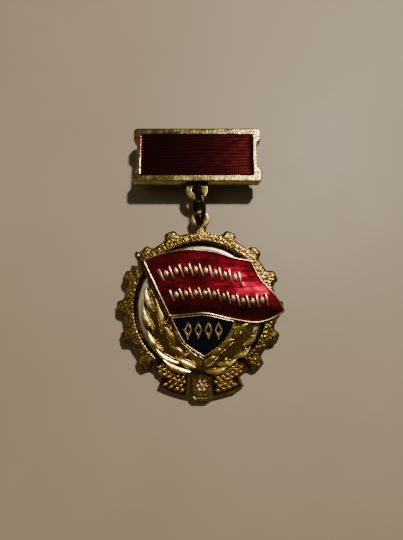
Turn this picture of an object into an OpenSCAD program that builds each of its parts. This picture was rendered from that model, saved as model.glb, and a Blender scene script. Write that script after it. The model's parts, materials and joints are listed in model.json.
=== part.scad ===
// Suspended award badge: an enamelled bar with a brooch clasp, a jump ring and a gear-rimmed
// pendant with a banner, a shield, a laurel wreath and wheat ears. It lies face up.
// The origin is the middle of the pendant's back. X runs across, Y up the badge, Z to the face.

/* [Pendant body] */
// radius at the roots of the teeth
gear_root_r = 14.4; // [11:0.1:18]
// places for teeth around the full circle
tooth_count = 16; // [14:1:20]
// height of a tooth over its root
tooth_h = 1.3; // [0.8:0.1:2]
// width of a tooth at its root
tooth_root_w = 3; // [2:0.1:3.6]
// width of a tooth at its tip
tooth_tip_w = 2.1; // [1:0.1:2.4]
// radial width of the raised rim with its step
rim_w = 2.3; // [1.6:0.1:3]
// width of the step around the raised rim
rim_step = 0.3; // [0.15:0.05:0.5]
// half of the angle that the raised rim covers
rim_half_angle = 141; // [120:1:150]
// thickness of the flange
flange_t = 1.1; // [0.8:0.1:1.6]
// height of the rim over the flange
rim_h = 1; // [0.6:0.1:1.4]

/* [Eye and stem] */
// distance of the eye's middle beyond the roots of the teeth
eye_reach = 2.8; // [2.5:0.1:5]
// radius of the eye
eye_r = 1.86; // [1.6:0.02:2.4]
// radius of the hole in the eye
eye_hole_r = 0.95; // [0.8:0.05:1.3]
// thickness of the eye
eye_t = 0.8; // [0.6:0.05:1]
// how far the eye's back stands in from the pendant's back
eye_set = 0.15; // [0.05:0.05:0.3]
// width of the stem at its outer end
stem_tip_w = 1.6; // [1.2:0.1:2]
// width of the stem at the rim
stem_root_w = 2.8; // [2:0.1:3.4]

/* [Inner disc] */
// gap between the rim and the inner disc
disc_gap = 0.35; // [0.1:0.05:0.6]
// thickness of the disc's edge
disc_edge_t = 0.4; // [0.3:0.05:0.6]
// width of the half-round moulding
bead_w = 1.7; // [1.2:0.1:2.2]
// how far the raised field stands over the rim's face
field_over_rim = 0.1; // [0.05:0.05:0.3]
// radius of the two rivets that hold the disc
rivet_r = 0.6; // [0.4:0.05:0.8]
// distance of a rivet from the middle
rivet_reach = 6; // [4:0.5:8]

/* [Banner] */
// thickness under the enamel
flag_bed_t = 0.3; // [0.2:0.05:0.5]
// height of the banner's border over its bed
flag_border_h = 0.55; // [0.4:0.05:0.8]
// width of the banner's border
flag_border_w = 0.35; // [0.25:0.05:0.5]
// thickness of the banner's enamel
flag_enamel_t = 0.45; // [0.3:0.05:0.7]
// pairs of bar and diamond in the upper row
upper_pairs = 8; // [6:1:10]
// pairs of bar and diamond in the lower row
lower_pairs = 10; // [7:1:11]
// height of an ornament bar in the upper row
upper_bar_h = 2.6; // [1.8:0.1:2.8]
// height of an ornament bar in the lower row
lower_bar_h = 2.3; // [1.6:0.1:2.5]
// width of an ornament bar
bar_w = 0.42; // [0.3:0.02:0.5]
// radius of the flagpole
pole_r = 0.32; // [0.24:0.02:0.5]

/* [Shield and emblem] */
// thickness under the shield's enamel
shield_bed_t = 0.25; // [0.15:0.05:0.4]
// height of the shield's edge over its bed
shield_border_h = 0.3; // [0.2:0.05:0.5]
// width of the shield's edge
shield_border_w = 0.3; // [0.2:0.05:0.5]
// thickness of the shield's enamel
shield_enamel_t = 0.22; // [0.1:0.02:0.4]
// thickness of the emblem plate
emblem_t = 0.9; // [0.6:0.1:1.2]
// height of the rosette on it
rosette_h = 0.35; // [0.2:0.05:0.5]

/* [Wreath and wheat] */
// thickness of the wreath's ground
wreath_ground_t = 0.25; // [0.15:0.05:0.4]
// height of the leaves over that ground
leaf_h = 0.5; // [0.3:0.05:0.7]
// length of a laurel leaf
leaf_l = 3.6; // [2.6:0.1:4.4]
// width of a laurel leaf
leaf_w = 1.25; // [0.9:0.05:1.6]
// radius of a berry
berry_r = 0.4; // [0.3:0.05:0.5]
// thickness of the wheat's ground over the flange
wheat_ground_t = 0.7; // [0.4:0.05:1]
// height of a grain over that ground
grain_h = 0.35; // [0.2:0.05:0.5]
// length of a grain
grain_l = 1.05; // [0.8:0.05:1.3]
// width of a grain
grain_w = 0.56; // [0.4:0.02:0.7]

/* [Jump ring] */
// radius of the ring's middle line
ring_mean_r = 2.95; // [2.8:0.05:3.6]
// radius of the ring's wire
ring_wire_r = 0.48; // [0.4:0.02:0.55]
// lean of the ring to one side as it lies
ring_lean = 12.5; // [0:0.5:20]
// turn of the ring as it lies
ring_turn = 11; // [0:0.5:20]

/* [Bar] */
// width of the bar
block_w = 25; // [20:0.5:32]
// height of the bar
block_h = 11.3; // [9:0.1:15]
// thickness of the bar
block_t = 2; // [1.6:0.1:2.6]
// width of the window at each side border
side_border_w = 1.5; // [1.3:0.1:2.2]
// width of the upper and lower borders
long_border_w = 1.25; // [0.8:0.05:2]
// thickness under the bar's enamel
block_bed_t = 1; // [0.7:0.1:1.4]
// how far the enamel stays under the border
enamel_drop = 0.12; // [0:0.02:0.3]
// length of the notch in each end
notch_l = 5.5; // [4:0.1:7]
// depth of the notch
notch_d = 0.75; // [0.4:0.05:0.9]
// cut at the bar's corners and notches
corner_cut = 0.5; // [0.2:0.05:0.8]
// width of the bevel around the face
bevel = 0.15; // [0.1:0.05:0.3]
// distance of the lug's hole below the bar's lower edge
lug_reach = 1.19; // [0.95:0.01:2]
// radius of the lug
lug_r = 2.26; // [1.8:0.02:2.8]
// radius of the hole in the lug
lug_hole_r = 0.9; // [0.8:0.05:1.3]
// thickness of the lug
lug_t = 0.8; // [0.6:0.05:1]

/* [Brooch clasp] */
// height of the clasp behind the bar
clasp_h = 3.4; // [3:0.1:4.4]
// distance between the pin's pivot and its catch
clasp_span = 17; // [13:0.5:19]
// depth of the pin's axis behind the bar
pin_drop = 2.2; // [2:0.1:2.8]
// radius of the pin's wire
pin_r = 0.45; // [0.35:0.01:0.5]
// radius of the pin where it lies in the catch
pin_tip_r = 0.36; // [0.25:0.01:0.4]
// radius of the pivot rivet
pivot_r = 0.35; // [0.25:0.01:0.45]
// radial clearance of the pin's eye on the pivot
pivot_gap = 0.05; // [0.02:0.01:0.1]
// radial clearance of the pin in the catch
catch_gap = 0.05; // [0.03:0.01:0.1]
// thickness of the clasp's sheet
sheet_t = 0.5; // [0.4:0.05:0.7]
// width of the clasp's feet across the bar
foot_w = 3.6; // [3:0.1:5]

/* [Hidden] */
$fn = 64;
fit_gap = 0.03;
side_gap = 0.06;
rivet_gap = 0.02;
wheat_gap = 0.25;
skin = 0.5;

// relief shapes are drawn for a root radius of 14.4 and follow the pendant's size
k = gear_root_r / 14.4;

// ---- pendant heights ----
rim_z = flange_t + rim_h;
rim_in_r = gear_root_r - rim_w;
tip_r = gear_root_r + tooth_h;
disc_r = rim_in_r - disc_gap;
field_z = rim_z + field_over_rim;
bead_r = bead_w / 2;
bead_mid_r = disc_r - bead_r;
field_r = bead_mid_r - bead_r + side_gap;
flag_bed_z = field_z + flag_bed_t;
flag_top_z = flag_bed_z + flag_border_h;
shield_bed_z = field_z + shield_bed_t;
shield_top_z = shield_bed_z + shield_border_h;
eye_v = gear_root_r + eye_reach;
eye_mid = eye_set + eye_t / 2;

// ---- places on the pendant, and the rows of ornament ----
upper_row = k * [[-7.2, 5.8], [-3.5, 6.55], [0.15, 6.75], [3.8, 5.95], [7.5, 5]];
lower_row = k * [[-5.2, 1.9], [-1.7, 2.4], [1.8, 2.25], [5.3, 1.5], [8.8, 0.8], [12.3, 1.1]];
shield_right = k * [[6.4, -2.65], [6, -4.2], [4.3, -6.8], [0.75, -9.3]];
pole_top = k * [-11.63, 9.4];
pole_end = k * [-4.81, -4.5];
apron = k * [[-9.4, -10.4], [-8.3, -11.3], [-6.9, -12.9], [-7.2, -14.4], [-5.7, -15.5], [-3.6, -16.2],
    [-1.8, -16.6], [-0.9, -17.2], [1.5, -17.2], [2.4, -16.6], [4.2, -16.2], [6.3, -15.6], [8, -14.4],
    [7.3, -12.7], [9.4, -10.4]];
emblem_mid = k * [0.3, -14.3];
foot_v = 17.2 * k;

// ---- how the pendant and the ring lie on the table ----
rest_tilt = 2.4;
floor_z = -foot_v * sin(rest_tilt);
ring_z = floor_z + ring_mean_r * cos(ring_lean) + ring_wire_r;
eye_y = eye_v * cos(rest_tilt) - eye_mid * sin(rest_tilt);
eye_z = eye_v * sin(rest_tilt) + eye_mid * cos(rest_tilt);
eye_b = (eye_z - ring_z) / cos(ring_lean);
eye_in = sqrt(pow(ring_mean_r - ring_wire_r, 2) - pow(abs(eye_b) + eye_t / 2, 2));
eye_out = sqrt(pow(ring_mean_r + ring_wire_r, 2) - pow(abs(eye_b) - eye_t / 2, 2));
eye_a = -(eye_in + eye_out) / 2;
back_z = floor_z + clasp_h;
lug_b = (back_z + lug_t / 2 - ring_z) / cos(ring_lean);
lug_a = sqrt(pow(ring_mean_r, 2) - pow(lug_b, 2));

// a point given in the ring's plane, turned as the ring lies
function ring_offset(a, b) = [
    b * sin(ring_lean) * cos(ring_turn) - a * sin(ring_turn),
    b * sin(ring_lean) * sin(ring_turn) + a * cos(ring_turn),
    b * cos(ring_lean)];

ring_mid = [0, eye_y, eye_z] - ring_offset(eye_a, eye_b);
lug_mid = ring_mid + ring_offset(lug_a, lug_b);
block_mid = [lug_mid[0], lug_mid[1] + lug_reach + block_h / 2, back_z];

// ---- bar ----
window_w = block_w - 2 * side_border_w;
window_h = block_h - 2 * long_border_w;
pivot_x = clasp_span / 2;
catch_x = -clasp_span / 2;
ear_r = clasp_h - pin_drop;
pin_eye_r = pivot_r + pivot_gap + pin_r;
pin_eye_t = 2 * pin_r;
ear_gap = pin_eye_t + 2 * pivot_gap;
neck_l = ear_r + pin_r;
stem_end_x = catch_x + 1.9;
catch_l = 1.4;
foot_l = 4;

// ---- curves ----
function blend(a, b, c, d, t) =
    0.5 * (2 * b + (c - a) * t + (2 * a - 5 * b + 4 * c - d) * t * t + (3 * b - a - 3 * c + d) * t * t * t);
function near(pts, i) = pts[max(0, min(len(pts) - 1, i))];
function on_curve(pts, s) =
    let (f = s * (len(pts) - 1), i = min(floor(f), len(pts) - 2))
    blend(near(pts, i - 1), near(pts, i), near(pts, i + 1), near(pts, i + 2), f - i);
function curve(pts, n) = [for (i = [0:n]) on_curve(pts, i / n)];
function tail(pts) = [for (i = [1:len(pts) - 1]) pts[i]];
function head(pts) = [for (i = [0:len(pts) - 2]) pts[i]];
function unit(v) = v / norm(v);
function left_of(v) = [-v[1], v[0]];

// a closed outline moved in by d, for points that run clockwise
function corner_in(a, b, c, d) =
    let (m = left_of(unit(b - a)), n = left_of(unit(c - b)), s = m + n)
    b - d * 2 * s / (s * s);
function inset(pts, d) =
    [for (i = [0:len(pts) - 1])
        corner_in(pts[(i + len(pts) - 1) % len(pts)], pts[i], pts[(i + 1) % len(pts)], d)];

// ---- outlines, given by their main points and smoothed between them ----
pole_way = unit(pole_end - pole_top);
pole_angle = atan2(pole_way[1], pole_way[0]);
pole_side = (pole_r + side_gap) * left_of(pole_way);
function on_pole(s) = pole_top + s * (pole_end - pole_top);
flag_top = concat(
    [on_pole(0.07) + pole_side],
    k * [[-6.6, 10.15], [-1.9, 10.75], [2.6, 10.3], [6.4, 9.15], [9.65, 8.6]]);
flag_right = k * [[9.65, 8.6], [11.4, 5.1], [14, 2], [15.6, -0.7]];
flag_bottom = concat(
    k * [[15.3, -1.2], [12.8, -2.6], [9.9, -3.15], [5.5, -2.45], [1, -1.5], [-2.5, -1.75]],
    [on_pole(0.83) + pole_side]);
shield_left = concat(
    k * [[0.75, -9.3], [-1.6, -7.8], [-3.1, -6.5]],
    [for (s = [0.99, 0.84]) on_pole(s) + 1.25 * pole_side]);

flag_outline = concat(head(curve(flag_top, 14)), curve(flag_right, 8), curve(flag_bottom, 16));
shield_top = [for (p = [for (i = [0:14]) on_curve(flag_bottom, 1 - i / 16)])
    if (p[0] > -4.3 * k && p[0] < 5.9 * k) p - [0, side_gap]];
shield_outline = concat(shield_top, curve(shield_right, 6), tail(curve(shield_left, 6)));

// ---- placing ----
module pendant_pose() {
    rotate([rest_tilt, 0, 0])
    children();
}

module block_pose() {
    translate(block_mid)
    children();
}

module layer(z0, z1) {
    translate([0, 0, z0])
    linear_extrude(z1 - z0)
    children();
}

// a cylinder along Y between two places
module bar_y(r, y0, y1) {
    translate([0, y1, 0])
    rotate([90, 0, 0])
    cylinder(r = r, h = y1 - y0);
}

// a cylinder along X between two places
module bar_x(ra, rb, x0, x1) {
    translate([x0, 0, 0])
    rotate([0, 90, 0])
    cylinder(r1 = ra, r2 = rb, h = x1 - x0);
}

// ---- pendant body ----
module tooth(step) {
    root = tooth_root_w / 2 - step;
    tip = tooth_tip_w / 2 - step;
    cut = 0.3;
    polygon([[-root, gear_root_r - 1], [-root, gear_root_r - 0.2 - step], [-tip, tip_r - cut - step],
        [cut - tip, tip_r - step], [tip - cut, tip_r - step], [tip, tip_r - cut - step],
        [root, gear_root_r - 0.2 - step], [root, gear_root_r - 1]]);
}

module teeth(z0, z1, step) {
    for (i = [1:tooth_count - 1])
        if (abs(i * 360 / tooth_count - 180) > 180 - rim_half_angle)
            rotate([0, 0, i * 360 / tooth_count])
            layer(z0, z1)
            tooth(step);
}

module stem() {
    layer(eye_set, rim_z)
    polygon([[-stem_root_w / 2, gear_root_r - 1], [-stem_tip_w / 2, eye_v - eye_r + side_gap],
        [stem_tip_w / 2, eye_v - eye_r + side_gap], [stem_root_w / 2, gear_root_r - 1]]);
    translate([0, eye_v, eye_set])
    cylinder(r = eye_r, h = eye_t);
}

module raised_rim() {
    rotate([0, 0, 90 - rim_half_angle])
    rotate_extrude(angle = 2 * rim_half_angle)
    translate([rim_in_r, flange_t])
    square([rim_w - rim_step, rim_h]);
}

module gear_base() {
    color([0.62, 0.5, 0.24])
    pendant_pose()
    difference() {
        union() {
            cylinder(r = gear_root_r, h = flange_t);
            teeth(0, flange_t, 0);
            teeth(flange_t, rim_z, rim_step);
            raised_rim();
            stem();
            layer(0, flange_t)
            polygon(apron);
        }
        translate([0, eye_v, eye_set - skin])
        cylinder(r = eye_hole_r, h = eye_t + 2 * skin);
        for (side = [-1, 1])
            translate([side * rivet_reach, 0, -skin])
            cylinder(r = rivet_r + rivet_gap, h = flange_t + 2 * skin);
    }
}

// ---- inner disc with its half-round moulding ----
module centre_disc() {
    color([0.66, 0.54, 0.28])
    pendant_pose()
    difference() {
        union() {
            translate([0, 0, flange_t])
            cylinder(r = disc_r, h = disc_edge_t);
            translate([0, 0, flange_t])
            cylinder(r = field_r, h = field_z - flange_t);
            rotate_extrude()
            translate([bead_mid_r, flange_t])
            circle(r = bead_r);
        }
        translate([0, 0, flange_t - 2 * bead_r])
        cylinder(r = disc_r + skin, h = 2 * bead_r);
        for (side = [-1, 1])
            translate([side * rivet_reach, 0, flange_t - skin])
            cylinder(r = rivet_r + rivet_gap, h = skin + rim_h / 2 + rivet_gap);
    }
}

module disc_rivet(side) {
    color([0.6, 0.5, 0.26])
    pendant_pose()
    translate([side * rivet_reach, 0, 0])
    cylinder(r = rivet_r, h = flange_t + rim_h / 2);
}

// ---- banner ----
module flagpole() {
    pole_l = norm(pole_end - pole_top);
    color([0.68, 0.57, 0.3])
    pendant_pose()
    difference() {
        translate([pole_top[0], pole_top[1], field_z + 0.7 * pole_r])
        rotate([0, 0, pole_angle])
        rotate([0, 90, 0])
        union() {
            cylinder(r = pole_r, h = pole_l);
            rotate_extrude()
            polygon([[0, 0.9], [0.42, 0.7], [0.66, 0.1], [0.62, -0.5], [0.3, -0.95], [0, -1.1]]);
        }
        translate([-2 * gear_root_r, -2 * gear_root_r, field_z - 2])
        cube([4 * gear_root_r, 4 * gear_root_r, 2]);
    }
}

// one ornament shape at a place s along a row, slanted like the pole's side of the banner
module on_row(row, s) {
    last = len(row) - 1;
    ends = concat([2 * row[0] - row[1]], row, [2 * row[last] - row[last - 1]]);
    p = on_curve(ends, (1 + s * last) / (last + 2));
    translate(p)
    rotate(24 - 12 * s)
    children();
}

module diamond(w, h) {
    polygon([[-w / 2, 0], [0, h / 2], [w / 2, 0], [0, -h / 2]]);
}

module ornament_row(row, pairs, tall, grow) {
    for (i = [0:2 * pairs])
        on_row(row, i / (2 * pairs))
        if (i % 2 == 0)
            square([bar_w + 2 * grow, tall + 2 * grow], center = true);
        else
            diamond(2.2 * bar_w + 3 * grow, 0.72 * tall + 3 * grow);
}

module flag_plate() {
    color([0.74, 0.62, 0.36])
    pendant_pose()
    union() {
        layer(field_z, flag_bed_z)
        polygon(flag_outline);
        layer(flag_bed_z, flag_top_z)
        difference() {
            polygon(flag_outline);
            polygon(inset(flag_outline, flag_border_w));
        }
        layer(flag_bed_z, flag_top_z)
        ornament_row(upper_row, upper_pairs, upper_bar_h, 0);
        layer(flag_bed_z, flag_top_z)
        ornament_row(lower_row, lower_pairs, lower_bar_h, 0);
    }
}

module flag_enamel() {
    color([0.45, 0.03, 0.06])
    pendant_pose()
    layer(flag_bed_z, flag_bed_z + flag_enamel_t)
    difference() {
        polygon(inset(flag_outline, flag_border_w + fit_gap));
        ornament_row(upper_row, upper_pairs, upper_bar_h, fit_gap);
        ornament_row(lower_row, lower_pairs, lower_bar_h, fit_gap);
    }
}

// ---- shield ----
module lozenges(grow) {
    for (i = [0:3])
        translate(k * [1.85 * i - 2.15, -4.4])
        difference() {
            diamond(1.5 + 2 * grow, 3.3 + 4 * grow);
            diamond(0.74 - 2 * grow, 1.7 - 4 * grow);
        }
}

module shield_plate() {
    color([0.6, 0.52, 0.28])
    pendant_pose()
    union() {
        layer(field_z, shield_bed_z)
        polygon(shield_outline);
        layer(shield_bed_z, shield_top_z)
        difference() {
            polygon(shield_outline);
            polygon(inset(shield_outline, shield_border_w));
        }
        layer(shield_bed_z, shield_top_z)
        lozenges(0);
    }
}

module shield_enamel() {
    color([0.02, 0.05, 0.07])
    pendant_pose()
    layer(shield_bed_z, shield_bed_z + shield_enamel_t)
    difference() {
        polygon(inset(shield_outline, shield_border_w + fit_gap));
        lozenges(fit_gap);
    }
}

// ---- laurel ----
module leaf(l, w) {
    r = (l * l + w * w) / (4 * w);
    intersection() {
        translate([r - w / 2, 0])
        circle(r = r);
        translate([w / 2 - r, 0])
        circle(r = r);
    }
}

// angles run from the foot of the wreath up its side
module spray(side, last) {
    for (i = [0:last])
        rotate(side * (14 + 17 * i))
        translate([0, -8.7 * k])
        rotate(side * 90) {
            translate([1.2 * k, 0.62 * leaf_w])
            rotate(-28)
            rotate(90)
            leaf(leaf_l, leaf_w);
            translate([1.2 * k, -0.62 * leaf_w])
            rotate(28)
            rotate(90)
            leaf(leaf_l, leaf_w);
            rotate(90)
            leaf(leaf_l, leaf_w);
        }
}

function arc(r, a0, a1, n) = [for (i = [0:n]) r * [sin(a0 + (a1 - a0) * i / n), -cos(a0 + (a1 - a0) * i / n)]];
wreath_r = 11.5 * k;
laurel_left_zone = concat(
    arc(wreath_r, 2, -118, 20),
    [on_pole(0.42) - pole_side, pole_end - pole_side, pole_end + side_gap * pole_way - pole_side],
    [for (i = [5:-1:0]) on_curve(shield_left, i / 9) - [side_gap, side_gap]]);
laurel_right_zone = concat(
    arc(wreath_r, 2.8, 72, 16),
    [for (i = [0:4]) on_curve(flag_bottom, 0.29 + 0.04 * i) - [0, 2 * side_gap]],
    [for (i = [0:8]) on_curve(shield_right, i / 8) + [2 * side_gap, -side_gap]]);

module laurel(side, last, zone, berries) {
    color([0.7, 0.58, 0.3])
    pendant_pose() {
        layer(field_z, field_z + wreath_ground_t)
        polygon(zone);
        layer(field_z + wreath_ground_t / 2, field_z + wreath_ground_t + leaf_h)
        intersection() {
            spray(side, last);
            polygon(zone);
        }
        for (p = berries)
            translate([k * p[0], k * p[1], field_z + wreath_ground_t + leaf_h / 2])
            sphere(r = berry_r);
    }
}

module laurel_left() {
    laurel(-1, 6, laurel_left_zone, [[-9.3, -3.7], [-6.3, -3.4], [-8.2, -7], [-2.6, -8.8]]);
}

module laurel_right() {
    laurel(1, 4, laurel_right_zone, [[9.4, -5.3], [7.1, -5.3], [8.4, -7.2], [4.5, -9.6]]);
}

// ---- wheat ----
function mirror_x(pts, side) = [for (p = pts) [side * p[0], p[1]]];
wheat_zone = concat(
    arc(disc_r + wheat_gap, 11, 38, 6),
    [13.9 * k * [sin(37.5), -cos(37.5)], 14.3 * k * [sin(28), -cos(28)]],
    arc(16.1 * k, 27.5, 9, 5));

module grains(side) {
    rows = [[12.5, 34], [13.25, 33], [14, 31.5], [14.8, 24.5], [15.5, 25]];
    for (row = rows)
        for (a = [11.5:4.4:row[1]])
            rotate(side * (a + (row[0] * 4) % 2))
            translate([0, -row[0] * k])
            rotate(side * 62)
            leaf(grain_l, grain_w);
}

module wheat(side) {
    zone = mirror_x(wheat_zone, side);
    color([0.66, 0.53, 0.26])
    pendant_pose() {
        layer(flange_t, flange_t + wheat_ground_t)
        polygon(zone);
        layer(flange_t + wheat_ground_t / 2, flange_t + wheat_ground_t + grain_h)
        intersection() {
            grains(side);
            polygon(zone);
        }
    }
}

module wheat_left() {
    wheat(-1);
}

module wheat_right() {
    wheat(1);
}

// ---- emblem plate ----
module emblem_plate() {
    color([0.66, 0.54, 0.27])
    pendant_pose()
    layer(flange_t, flange_t + emblem_t)
    translate(emblem_mid)
    polygon(k * [[-1.9, 2], [1.9, 2], [1.9, -2], [1.2, -2.55], [-1.2, -2.55], [-1.9, -2]]);
}

module emblem_rosette() {
    color([0.72, 0.6, 0.33])
    pendant_pose()
    layer(flange_t + emblem_t, flange_t + emblem_t + rosette_h)
    translate(emblem_mid)
    union() {
        circle(r = 0.5 * k);
        for (a = [0:60:300])
            rotate(a)
            translate([0.85 * k, 0])
            circle(r = 0.42 * k);
    }
}

// ---- jump ring ----
module jump_ring() {
    color([0.12, 0.09, 0.07])
    translate(ring_mid)
    rotate([0, 0, ring_turn])
    rotate([0, ring_lean, 0])
    rotate([0, 90, 0])
    rotate_extrude()
    translate([ring_mean_r, 0])
    circle(r = ring_wire_r);
}

// ---- bar ----
// one quarter's points of the bar's outline, from the notch to the middle of the long side
function quarter(w, h) = [
    [w - notch_d, notch_l / 2 - corner_cut / 2],
    [w, notch_l / 2 + corner_cut],
    [w, h - corner_cut],
    [w - corner_cut, h]];
function reversed(pts) = [for (i = [len(pts) - 1:-1:0]) pts[i]];
function flip(pts, x, y) = [for (p = pts) [x * p[0], y * p[1]]];
block_q = quarter(block_w / 2, block_h / 2);
block_outline = concat(reversed(block_q), flip(block_q, 1, -1), reversed(flip(block_q, -1, -1)), flip(block_q, -1, 1));

module block_plate() {
    color([0.66, 0.55, 0.3])
    block_pose()
    difference() {
        union() {
            layer(0, block_t - bevel)
            polygon(block_outline);
            layer(block_t - bevel, block_t)
            polygon(inset(block_outline, bevel));
            translate([0, -block_h / 2 - lug_reach, 0])
            cylinder(r = lug_r, h = lug_t);
        }
        translate([-window_w / 2, -window_h / 2, block_bed_t])
        cube([window_w, window_h, block_t]);
        translate([0, -block_h / 2 - lug_reach, -skin])
        cylinder(r = lug_hole_r, h = lug_t + 2 * skin);
    }
}

module block_enamel() {
    color([0.2, 0.01, 0.03])
    block_pose()
    translate([fit_gap - window_w / 2, fit_gap - window_h / 2, block_bed_t])
    cube([window_w - 2 * fit_gap, window_h - 2 * fit_gap, block_t - block_bed_t - enamel_drop]);
}

// ---- brooch clasp ----
module foot(x, l) {
    translate([x - l / 2, -foot_w / 2, -sheet_t])
    cube([l, foot_w, sheet_t]);
}

module ear(y) {
    translate([pivot_x, 0, -pin_drop])
    bar_y(ear_r, y, y + sheet_t);
    translate([pivot_x - ear_r, y, -pin_drop])
    cube([2 * ear_r, sheet_t, pin_drop - sheet_t / 2]);
}

module hinge_bracket() {
    color([0.6, 0.52, 0.3])
    block_pose()
    difference() {
        union() {
            foot(pivot_x, foot_l);
            ear(ear_gap / 2);
            ear(-ear_gap / 2 - sheet_t);
        }
        translate([pivot_x, 0, -pin_drop])
        bar_y(pivot_r + rivet_gap, -foot_w, foot_w);
    }
}

module hinge_rivet() {
    out = ear_gap / 2 + sheet_t;
    head_t = 0.3;
    color([0.56, 0.48, 0.28])
    block_pose()
    translate([pivot_x, 0, -pin_drop])
    union() {
        bar_y(pivot_r, -out - head_t / 2, out + head_t / 2);
        bar_y(1.8 * pivot_r, out, out + head_t);
        bar_y(1.8 * pivot_r, -out - head_t, -out);
    }
}

module brooch_pin() {
    color([0.62, 0.6, 0.55])
    block_pose()
    translate([0, 0, -pin_drop])
    difference() {
        union() {
            translate([pivot_x, 0, 0])
            bar_y(pin_eye_r, -pin_eye_t / 2, pin_eye_t / 2);
            bar_x(pin_r, 0.75 * pin_r, pivot_x - neck_l, pivot_x - pivot_r - pin_r / 2);
            bar_x(pin_r, pin_r, stem_end_x, pivot_x - neck_l);
            bar_x(pin_tip_r, pin_r, stem_end_x - catch_l / 2, stem_end_x);
            bar_x(pin_tip_r, pin_tip_r, catch_x - catch_l, stem_end_x - catch_l / 2);
            bar_x(pin_tip_r / 6, pin_tip_r, catch_x - 2 * catch_l, catch_x - catch_l);
        }
        translate([pivot_x, 0, 0])
        bar_y(pivot_r + pivot_gap, -foot_w, foot_w);
    }
}

module catch_clip() {
    hook_w = foot_w - 2 * sheet_t;
    hole_r = pin_tip_r + catch_gap;
    color([0.6, 0.52, 0.3])
    block_pose()
    difference() {
        union() {
            foot(catch_x, 0.75 * foot_l);
            translate([catch_x - catch_l / 2, -hook_w / 2, -clasp_h])
            cube([catch_l, hook_w, clasp_h - sheet_t / 2]);
        }
        translate([0, 0, -pin_drop])
        bar_x(hole_r, hole_r, catch_x - catch_l, catch_x + catch_l);
        translate([catch_x - catch_l, -hole_r, -clasp_h - skin])
        cube([2 * catch_l, 2 * hole_r, clasp_h + skin - pin_drop]);
    }
}

gear_base();
centre_disc();
disc_rivet(-1);  // rivet_left
disc_rivet(1);  // rivet_right
flagpole();
flag_plate();
flag_enamel();
shield_plate();
shield_enamel();
laurel_left();
laurel_right();
wheat_left();
wheat_right();
emblem_plate();
emblem_rosette();
jump_ring();
block_plate();
block_enamel();
hinge_bracket();
hinge_rivet();
brooch_pin();
catch_clip();
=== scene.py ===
"""Looks of a suspended award badge: an enamelled bar on a clasp, a jump ring and a gear-rimmed pendant.

Lengths are in millimetres until a mesh is placed. The pendant's relief is drawn flat, in (u, v, w), and
tilted as it lies. Every relief is a height over a plane, cut out along the zero line of a distance that is
positive inside.
"""
import json
import math

import bpy
import numpy as np
from mathutils import Matrix, Vector
from mathutils.geometry import tessellate_polygon


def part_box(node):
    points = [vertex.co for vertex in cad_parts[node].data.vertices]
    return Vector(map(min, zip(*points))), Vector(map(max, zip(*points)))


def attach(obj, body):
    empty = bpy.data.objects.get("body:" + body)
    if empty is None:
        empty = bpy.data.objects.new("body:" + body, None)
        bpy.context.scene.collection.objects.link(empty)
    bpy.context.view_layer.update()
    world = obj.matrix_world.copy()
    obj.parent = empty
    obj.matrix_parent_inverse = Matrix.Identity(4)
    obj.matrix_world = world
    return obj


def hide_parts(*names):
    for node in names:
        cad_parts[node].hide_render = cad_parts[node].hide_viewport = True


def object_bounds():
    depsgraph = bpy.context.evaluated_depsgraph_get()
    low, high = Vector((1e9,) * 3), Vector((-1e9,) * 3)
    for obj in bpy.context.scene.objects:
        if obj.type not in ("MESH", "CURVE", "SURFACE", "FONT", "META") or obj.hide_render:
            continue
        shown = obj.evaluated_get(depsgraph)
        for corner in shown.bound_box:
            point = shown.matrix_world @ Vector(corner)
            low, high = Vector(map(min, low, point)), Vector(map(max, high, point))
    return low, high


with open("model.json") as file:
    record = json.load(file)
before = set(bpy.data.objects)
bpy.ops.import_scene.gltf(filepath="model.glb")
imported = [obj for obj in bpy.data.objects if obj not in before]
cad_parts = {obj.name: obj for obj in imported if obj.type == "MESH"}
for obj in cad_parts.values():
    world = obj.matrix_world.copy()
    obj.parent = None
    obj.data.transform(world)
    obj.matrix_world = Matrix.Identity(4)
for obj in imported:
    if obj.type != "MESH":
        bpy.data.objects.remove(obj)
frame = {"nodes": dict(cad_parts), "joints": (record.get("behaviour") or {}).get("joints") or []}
cad_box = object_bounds()
NODES = frame["nodes"]
JOINTS = {j["name"]: j for j in frame["joints"]}
MM = 0.001

# a distance that no outline here reaches
FAR = 9.0

# ---- pendant sizes ----
REST_TILT = 2.4
ROOT_R = 14.4
TIP_R = 15.7
TOOTH_STEP = math.radians(22.5)
TOOTH_ROOT = 1.5
TOOTH_TIP = 1.05
TOOTH_SUNK = 1.2
GEAR_FILLET = 0.5
LAST_TOOTH = 6
RIM_HALF = math.radians(141)
RIM_IN_R = 12.1
FLANGE_Z = 1.1
RIM_Z = 2.1
LIP = 0.2
SHOULDER = 0.2
STEM_ROOT = 1.4
STEM_TIP = 0.8
STEM_END = 15.4
EYE_V = 17.2
EYE_R = 1.86
EYE_HOLE = 0.95
EYE_LOW = 0.15
EYE_HIGH = 0.95
DISC_R = 11.75
BEAD_R = 0.85
BEAD_MID = 10.9
FIELD_R = 10.11
FIELD_Z = 2.2
RIVET_AT = 6.0
RIVET_HOLE = 0.62
FLAG_BED = 2.5
FLAG_TOP = 3.05
FLAG_BORDER = 0.35
FLAG_RIDGE = 0.14
FLAG_TUCK = 0.06
FLAG_GLAZE = 2.93
POLE_R = 0.32
SIDE_GAP = 0.06
SHIELD_BED = 2.45
SHIELD_TOP = 2.75
SHIELD_GLAZE = 2.67
SHIELD_BORDER = 0.3
SHIELD_RIDGE = 0.1
SHIELD_TUCK = 0.05
WREATH_Z = 2.45
LEAF_H = 0.55
WHEAT_Z = 1.8
GRAIN_H = 0.35
EMBLEM_Z = 2.0
ROSETTE_Z = 2.35
EMBLEM_MID = (0.3, -14.3)

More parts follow.
